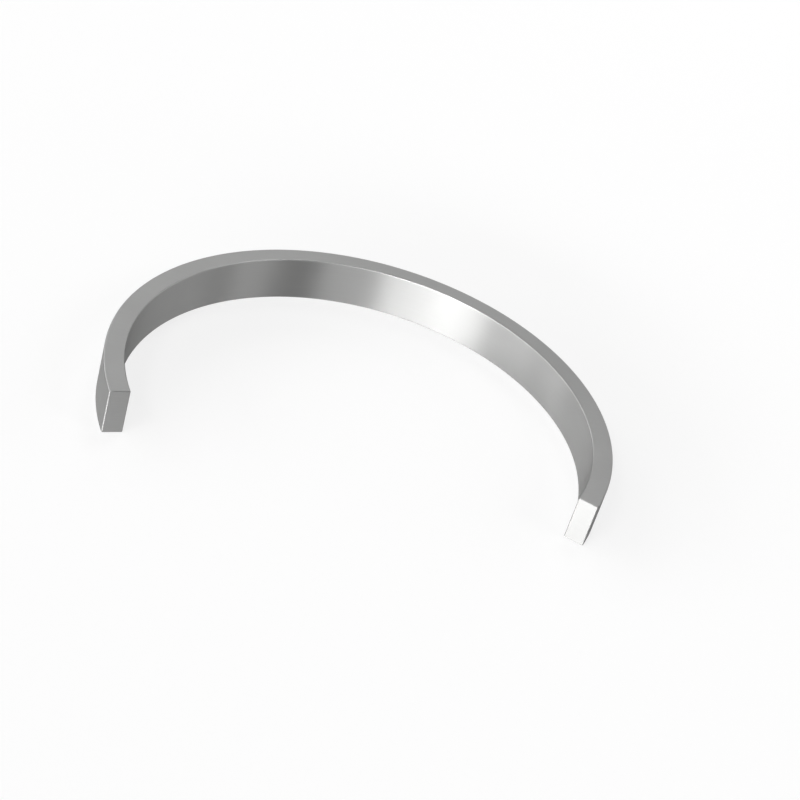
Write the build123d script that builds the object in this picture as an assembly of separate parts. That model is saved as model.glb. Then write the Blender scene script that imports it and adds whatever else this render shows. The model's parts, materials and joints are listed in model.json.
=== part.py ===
from build123d import *
import os

# Open locating ring of rectangular section, in millimetres and degrees.
# Origin on the ring's axis, at the lower side face. +Z runs along the axis and the opening faces -Y.

# Driving dimensions
seat_diameter = 100.0      # bearing seat of the housing, which the ring's outer wall lies against
radial_thickness = 4.0     # height of the bar, from the inner wall to the outer wall
ring_width = 9.5           # width of the bar along the axis, which fixes the bearing's place
opening_angle = 135.0      # gap between the two cut ends, seen from the axis
edge_round = 0.2           # radius on every edge, along the arc and around both ends

# Places that follow from them
outer_radius = seat_diameter / 2
inner_radius = outer_radius - radial_thickness
arc_angle = 360.0 - opening_angle
first_end_angle = opening_angle / 2 - 90.0


def bar_section(end_plane):
    """Rectangular section of the bar, drawn where the arc begins."""
    with BuildSketch(end_plane) as section:
        with Locations((inner_radius, 0)):
            Rectangle(radial_thickness, ring_width, align=(Align.MIN, Align.MIN))
    return section.sketch


def locating_ring():
    """The bar's section swept around the axis between two radial cuts, with its edges rounded."""
    end_plane = Plane.XZ.rotated((0, 0, first_end_angle))
    bar = revolve(bar_section(end_plane), axis=Axis.Z, revolution_arc=arc_angle)
    return fillet(bar.edges(), edge_round)


os.makedirs("parts", exist_ok=True)
export_step(locating_ring(), "parts/locating_ring.step")
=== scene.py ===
import json
import math

import bmesh
import bpy
from mathutils import Matrix, Vector


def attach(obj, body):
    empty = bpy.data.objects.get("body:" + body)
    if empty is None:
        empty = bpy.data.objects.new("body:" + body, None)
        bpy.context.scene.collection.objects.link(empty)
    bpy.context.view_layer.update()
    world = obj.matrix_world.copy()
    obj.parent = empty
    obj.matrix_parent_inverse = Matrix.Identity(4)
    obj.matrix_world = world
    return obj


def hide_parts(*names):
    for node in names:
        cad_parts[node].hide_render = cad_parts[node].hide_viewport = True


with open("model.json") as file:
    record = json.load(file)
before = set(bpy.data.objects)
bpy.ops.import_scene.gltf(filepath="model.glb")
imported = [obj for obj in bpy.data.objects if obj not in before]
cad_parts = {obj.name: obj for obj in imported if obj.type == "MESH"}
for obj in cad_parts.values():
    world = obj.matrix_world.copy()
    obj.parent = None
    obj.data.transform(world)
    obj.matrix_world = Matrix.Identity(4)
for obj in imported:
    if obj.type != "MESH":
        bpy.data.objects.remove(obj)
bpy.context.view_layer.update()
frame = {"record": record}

# ring: in metres and degrees, the seat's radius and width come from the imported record
metre = 1000.0    # in millimetres, which the record's mounts are given in
seat = next(m for m in frame["record"]["mounts"] if m["name"] == "housing_seat")["dims"]
ring = {
    "outerRadius": seat["r_mm"] / metre,
    "width": seat["length_mm"] / metre,
    "thickness": 0.004,
    "opening": 135.0,       # gap between the two cut ends, which faces -Y
    "edgeRound": 0.0002,    # on every edge
    "arcSteps": 300,
    "edgeSteps": 4,
    "seam": 1e-7,           # points nearer than this are one point
    "sharp": 45.0,          # edges that turn by more than this get rounded
}
arc = math.radians(360 - ring["opening"])    # how far round the bar goes


def ringShape():
    outer, deep, wide = ring["outerRadius"], ring["thickness"], ring["width"]
    upright = Matrix.Rotation(math.radians(90), 3, "X")
    toFirstEnd = Matrix.Rotation(math.radians(ring["opening"] / 2 - 90), 3, "Z")
    bm = bmesh.new()
    # the bar's section, stood up where the arc begins
    bmesh.ops.create_grid(bm, x_segments=1, y_segments=1, size=deep / 2)
    bmesh.ops.scale(bm, vec=(1, wide / deep, 1), verts=bm.verts)
    bmesh.ops.rotate(bm, matrix=upright, verts=bm.verts)
    bmesh.ops.translate(bm, vec=(outer - deep / 2, 0, wide / 2), verts=bm.verts)
    bmesh.ops.rotate(bm, matrix=toFirstEnd, verts=bm.verts)
    # swept round the axis, then its edges are rounded
    bmesh.ops.spin(bm, geom=bm.verts[:] + bm.edges[:] + bm.faces[:], cent=(0, 0, 0), axis=(0, 0, 1),
                   dvec=(0, 0, 0), angle=arc, steps=ring["arcSteps"], use_merge=False)
    bmesh.ops.remove_doubles(bm, verts=bm.verts, dist=ring["seam"])
    bmesh.ops.recalc_face_normals(bm, faces=bm.faces)
    corners = [e for e in bm.edges if e.calc_face_angle(0) > math.radians(ring["sharp"])]
    bmesh.ops.bevel(bm, geom=corners, offset=ring["edgeRound"], offset_type="OFFSET", affect="EDGES",
                    segments=ring["edgeSteps"], profile=0.5, material=-1)
    print("ring shape:", len(bm.faces), "faces,", sum(not e.is_manifold for e in bm.edges), "open edges")
    return bm


# which face gets which finish
faceSort = {
    "names": ("innerWall", "outerWall", "groundSide", "cutEnd", "brokenEdge"),
    "flat": 0.99,          # cosine from which a face belongs to a wall or a side, not to a round
    "towardsEnd": 0.05,    # cosine from which a round is finished with the cut end that it turns to
}


def layFinishes(bm):
    # each face gets its finish and its place on the unrolled bar: u follows the arc, v goes round the section
    uv = bm.loops.layers.uv.new("unrolled")
    names = faceSort["names"]
    inner, outer, side, end, edge = range(len(names))
    middle = ring["outerRadius"] - ring["thickness"] / 2
    for face in bm.faces:
        centre = face.calc_center_median()
        outward = Vector((centre.x, centre.y, 0)).normalized()
        outwards = face.normal.dot(outward)
        upwards = abs(face.normal.z)
        endwards = abs(face.normal.dot(Vector((-outward.y, outward.x, 0))))
        if abs(outwards) > faceSort["flat"]:
            face.material_index = outer if outwards > 0 else inner
        elif upwards > faceSort["flat"]:
            face.material_index = side
        else:
            face.material_index = end if endwards > faceSort["towardsEnd"] else edge
        for loop in face.loops:
            p = loop.vert.co
            reach = math.hypot(p.x, p.y)
            turn = math.atan2(-p.x, p.y) * middle    # 0 at the crown of the arc
            if face.material_index == end:
                loop[uv].uv = (arc / 2 * middle + reach, p.z)    # beside the walls, past the end of the arc
            elif abs(outwards) > upwards:
                loop[uv].uv = (turn, p.z)
            else:
                loop[uv].uv = (turn, reach)
    counts = [sum(f.material_index == i for f in bm.faces) for i in range(len(names))]
    print("finishes laid:", ", ".join(f"{name} {count} faces" for name, count in zip(names, counts)))


def addPiece(name, bm, materials):
    mesh = bpy.data.meshes.new(name)
    bm.to_mesh(mesh)
    bm.free()
    mesh.shade_smooth()
    piece = bpy.data.objects.new(name, mesh)
    bpy.context.scene.collection.objects.link(piece)
    for m in materials:
        mesh.materials.append(m)
    return piece


# finishes: every surface has the marks of its own tool, and all but the ground sides have a gloss that is
# drawn out across them
# shade: how light it is beside the bare colour, which on the outer wall (darker) and the ground sides
# (lighter) is painted shade and painted light, set to the greys those faces show under the lamps, uneven: how
# far the roughness wanders with the marks, stretch: how far the gloss is drawn out, mark: length and spacing
# of the marks, depth: how deep they are, lay: along the bar or straight over the ring
turnedWall = {
    "roughness": 0.50, "uneven": 0.05, "stretch": 1.0,
    "mark": (0.020, 0.00016), "depth": 5e-7, "lay": "unrolled",
}
finish = {
    "colour": (0.375, 0.375, 0.372),
    "grazingTint": (0.1, 0.1, 0.1, 1.0),
    "acrossMarks": 0.25,         # quarter turn, from along the marks to across them
    "mottle": {"size": 0.014, "shade": 0.03, "detail": 2.0},    # faint cloudiness of the whole bar
    "markDetail": 3.0,
    "noiseRange": (0.3, 0.7),    # the part of the noise that is used
    "innerWall": {"shade": 1.0, **turnedWall},
    # painted shade: the outer wall is painted darker than the inner wall, to the grey it shows under the
    # lamps
    "outerWall": {"shade": 0.86, **turnedWall},
    "groundSide": {
        # painted light: the flat sides are painted lighter than the walls, to the grey they show under the
        # lamps; their marks are real
        "shade": 1.08, "roughness": 0.50, "uneven": 0.06, "stretch": 0.0,
        "mark": (0.009, 0.00011), "depth": 5e-7, "lay": "straight",
    },
    "cutEnd": {
        "shade": 1.0, "roughness": 0.60, "uneven": 0.06, "stretch": 0.8,
        "mark": (0.003, 0.00014), "depth": 6e-7, "lay": "unrolled",
    },
    "brokenEdge": {
        "shade": 1.0, "roughness": 0.40, "uneven": 0.10, "stretch": 0.7,
        "mark": (0.004, 0.00008), "depth": 3e-7, "lay": "unrolled",
    },
}


def steel(name):
    look = finish[name]
    m = bpy.data.materials.new(name)
    m.use_nodes = True
    nodes, links = m.node_tree.nodes, m.node_tree.links
    shader = nodes["Principled BSDF"]
    shader.inputs["Metallic"].default_value = 1.0
    shader.inputs["Specular Tint"].default_value = finish["grazingTint"]
    shader.inputs["Anisotropic"].default_value = look["stretch"]
    shader.inputs["Anisotropic Rotation"].default_value = finish["acrossMarks"]
    tangent = nodes.new("ShaderNodeTangent")
    tangent.direction_type = "UV_MAP"
    tangent.uv_map = "unrolled"
    links.new(tangent.outputs["Tangent"], shader.inputs["Tangent"])

    def noise(place, size, detail):
        scaled = nodes.new("ShaderNodeMapping")
        scaled.inputs["Scale"].default_value = [1 / s for s in size]
        links.new(place, scaled.inputs["Vector"])
        texture = nodes.new("ShaderNodeTexNoise")
        texture.inputs["Scale"].default_value = 1.0
        texture.inputs["Detail"].default_value = detail
        links.new(scaled.outputs["Vector"], texture.inputs["Vector"])
        return texture.outputs["Fac"]

    def spread(value, low, high):
        ranged = nodes.new("ShaderNodeMapRange")
        ranged.inputs["From Min"].default_value = finish["noiseRange"][0]
        ranged.inputs["From Max"].default_value = finish["noiseRange"][1]
        ranged.inputs["To Min"].default_value = low
        ranged.inputs["To Max"].default_value = high
        links.new(value, ranged.inputs["Value"])
        return ranged.outputs["Result"]

    # tool marks, in bump and in roughness
    solid = nodes.new("ShaderNodeTexCoord").outputs["Object"]
    unrolled = nodes.new("ShaderNodeUVMap")
    unrolled.uv_map = "unrolled"
    place = solid if look["lay"] == "straight" else unrolled.outputs["UV"]
    length, spacing = look["mark"]
    marks = noise(place, (length, spacing, spacing), finish["markDetail"])
    bump = nodes.new("ShaderNodeBump")
    bump.inputs["Distance"].default_value = look["depth"]
    links.new(marks, bump.inputs["Height"])
    links.new(bump.outputs["Normal"], shader.inputs["Normal"])
    half = look["uneven"] / 2
    roughness = spread(marks, look["roughness"] - half, look["roughness"] + half)
    links.new(roughness, shader.inputs["Roughness"])
    # colour, a little cloudy
    mottle = finish["mottle"]
    cloud = noise(solid, [mottle["size"]] * 3, mottle["detail"])
    shade = nodes.new("ShaderNodeMix")
    shade.data_type = "RGBA"
    # the mottle is the bar's own cloudiness; the finish's shade factor adds painted shade on the outer wall
    # and painted light on the sides
    for socket, change in (("A", -mottle["shade"]), ("B", mottle["shade"])):
        paintedShadeAndMottle = look["shade"] * (1 + change)
        shade.inputs[socket].default_value = [c * paintedShadeAndMottle for c in finish["colour"]] + [1.0]
    links.new(spread(cloud, 0.0, 1.0), shade.inputs["Factor"])
    links.new(shade.outputs["Result"], shader.inputs["Base Color"])
    return m


bm = ringShape()
layFinishes(bm)
steelRing = addPiece("steelRing", bm, [steel(name) for name in faceSort["names"]])
steelRing.modifiers.new("flatSides", "WEIGHTED_NORMAL")    # no shade of the rounds runs into the flats
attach(steelRing, "root")
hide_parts("locating_ring")
print("steel ring placed:", len(steelRing.data.vertices), "points,",
      len(steelRing.data.materials), "finishes")

# floor: pale and matt, much wider than any view, with a low wall round it that hides the dark beyond
floorPlan = {
    "radius": 5.5,
    "wall": 0.77,
    "sides": 96,
    "colour": (0.9, 0.9, 0.9, 1.0),
    "roughness": 1.0,
    "gloss": 0.0,
    "lift": 0.75,    # share of plain white in what the camera and the steel see of it
}


def paleFloor():
    m = bpy.data.materials.new("paleFloor")
    m.cycles.emission_sampling = "NONE"    # the lift is for looks alone and never works as a lamp
    m.use_nodes = True
    nodes, links = m.node_tree.nodes, m.node_tree.links
    shader = nodes["Principled BSDF"]
    shader.inputs["Base Color"].default_value = floorPlan["colour"]
    shader.inputs["Roughness"].default_value = floorPlan["roughness"]
    shader.inputs["Specular IOR Level"].default_value = floorPlan["gloss"]
    rays = nodes.new("ShaderNodeLightPath")
    seen = rays.outputs["Is Camera Ray"]
    for kind in ("Is Glossy Ray", "Is Transmission Ray"):
        either = nodes.new("ShaderNodeMath")
        either.operation = "MAXIMUM"
        links.new(seen, either.inputs[0])
        links.new(rays.outputs[kind], either.inputs[1])
        seen = either.outputs[0]
    share = nodes.new("ShaderNodeMath")
    share.operation = "MULTIPLY"
    share.inputs[1].default_value = floorPlan["lift"]
    links.new(seen, share.inputs[0])
    white = nodes.new("ShaderNodeEmission")
    mix = nodes.new("ShaderNodeMixShader")
    links.new(share.outputs[0], mix.inputs["Fac"])
    links.new(shader.outputs[0], mix.inputs[1])
    links.new(white.outputs[0], mix.inputs[2])
    links.new(mix.outputs[0], nodes["Material Output"].inputs["Surface"])
    return m


def floorPiece():
    bm = bmesh.new()
    bmesh.ops.create_circle(bm, cap_ends=True, segments=floorPlan["sides"], radius=floorPlan["radius"])
    rim = bmesh.ops.extrude_edge_only(bm, edges=bm.edges[:])["geom"]
    top = [part for part in rim if isinstance(part, bmesh.types.BMVert)]
    bmesh.ops.translate(bm, vec=(0, 0, floorPlan["wall"]), verts=top)
    return addPiece("floor", bm, [paleFloor()])


floorPiece()
print("floor laid:", floorPlan["radius"], "m in radius, with a wall of", floorPlan["wall"], "m")

# studio: soft boxes round the ring, each given by the span of azimuth and elevation it fills from there,
# placed where the walls, the side and the ends mirror it, and as strong as those have to look
studio = {
    "distance": 4.5,
    "world": 0.0,    # the boxes alone light the ring
    "boxes": {
        "key": {"azimuth": (-143, -90), "elevation": (3, 12), "strength": 38.0},
        "front": {"azimuth": (-91, -60), "elevation": (3, 8), "strength": 19.0},
        "over": {"azimuth": (-140, -118), "elevation": (43, 55), "strength": 11.5},
        "left": {"azimuth": (190, 215), "elevation": (2, 20), "strength": 9.0},
        "leftBack": {"azimuth": (165, 190), "elevation": (2, 20), "strength": 6.0},
        "rim": {"azimuth": (150, 190), "elevation": (26, 46), "strength": 1.0},
        "backLeft": {"azimuth": (115, 165), "elevation": (12, 36), "strength": 3.1},
        "back": {"azimuth": (80, 115), "elevation": (16, 36), "strength": 1.75},
        "high": {"azimuth": (60, 85), "elevation": (48, 68), "strength": 6.8},
        "right": {"azimuth": (-5, 60), "elevation": (10, 27), "strength": 2.25},
        "rightHigh": {"azimuth": (-30, -5), "elevation": (28, 48), "strength": 4.3},
    },
}


def softBox(name, azimuth, elevation, strength):
    turn, rise = (math.radians(sum(span) / 2) for span in (azimuth, elevation))
    wide, tall = (2 * studio["distance"] * math.tan(math.radians(high - low) / 2)
                  for low, high in (azimuth, elevation))
    wide *= math.cos(rise)    # a span of azimuth is narrower higher up
    lamp = bpy.data.lights.new(name, "AREA")
    lamp.shape = "RECTANGLE"
    lamp.size, lamp.size_y = wide, tall
    lamp.energy = strength * math.pi * wide * tall    # strength is how bright the box's own face is
    box = bpy.data.objects.new(name, lamp)
    out = Vector((math.cos(turn) * math.cos(rise), math.sin(turn) * math.cos(rise), math.sin(rise)))
    box.location = out * studio["distance"]
    box.rotation_euler = out.to_track_quat("Z", "Y").to_euler()
    box.visible_camera = False    # it lights the ring and shows in the steel, not in low views
    bpy.context.scene.collection.objects.link(box)


for name, box in studio["boxes"].items():
    softBox(name, **box)

world = bpy.data.worlds.new("studio")
bpy.context.scene.world = world
world.use_nodes = True
world.node_tree.nodes["Background"].inputs["Strength"].default_value = studio["world"]
print("studio lit:", len(studio["boxes"]), "soft boxes")

# camera: where the photo was taken from, in metres, with its lens and film in millimetres
view = {
    "place": (-0.0289, -0.2896, 0.2038),
    "aim": (0.0089, 0.0145, 0.0),
    "roll": 17.54,
    "lens": 82.0,
    "film": 36.0,
    "nearest": 0.01,
}


def photoCamera():
    data = bpy.data.cameras.new("photoCamera")
    data.sensor_width = view["film"]
    data.lens = view["lens"]
    data.clip_start = view["nearest"]
    camera = bpy.data.objects.new("photoCamera", data)
    bpy.context.scene.collection.objects.link(camera)
    place = Vector(view["place"])
    look = (Vector(view["aim"]) - place).to_track_quat("-Z", "Y").to_matrix()
    roll = Matrix.Rotation(math.radians(view["roll"]), 3, "Z")
    camera.matrix_world = Matrix.Translation(place) @ (look @ roll).to_4x4()
    bpy.context.scene.camera = camera


photoCamera()
bpy.context.scene.view_settings.view_transform = "Standard"
print("camera set:", view["lens"], "mm lens, rolled by", view["roll"], "degrees")
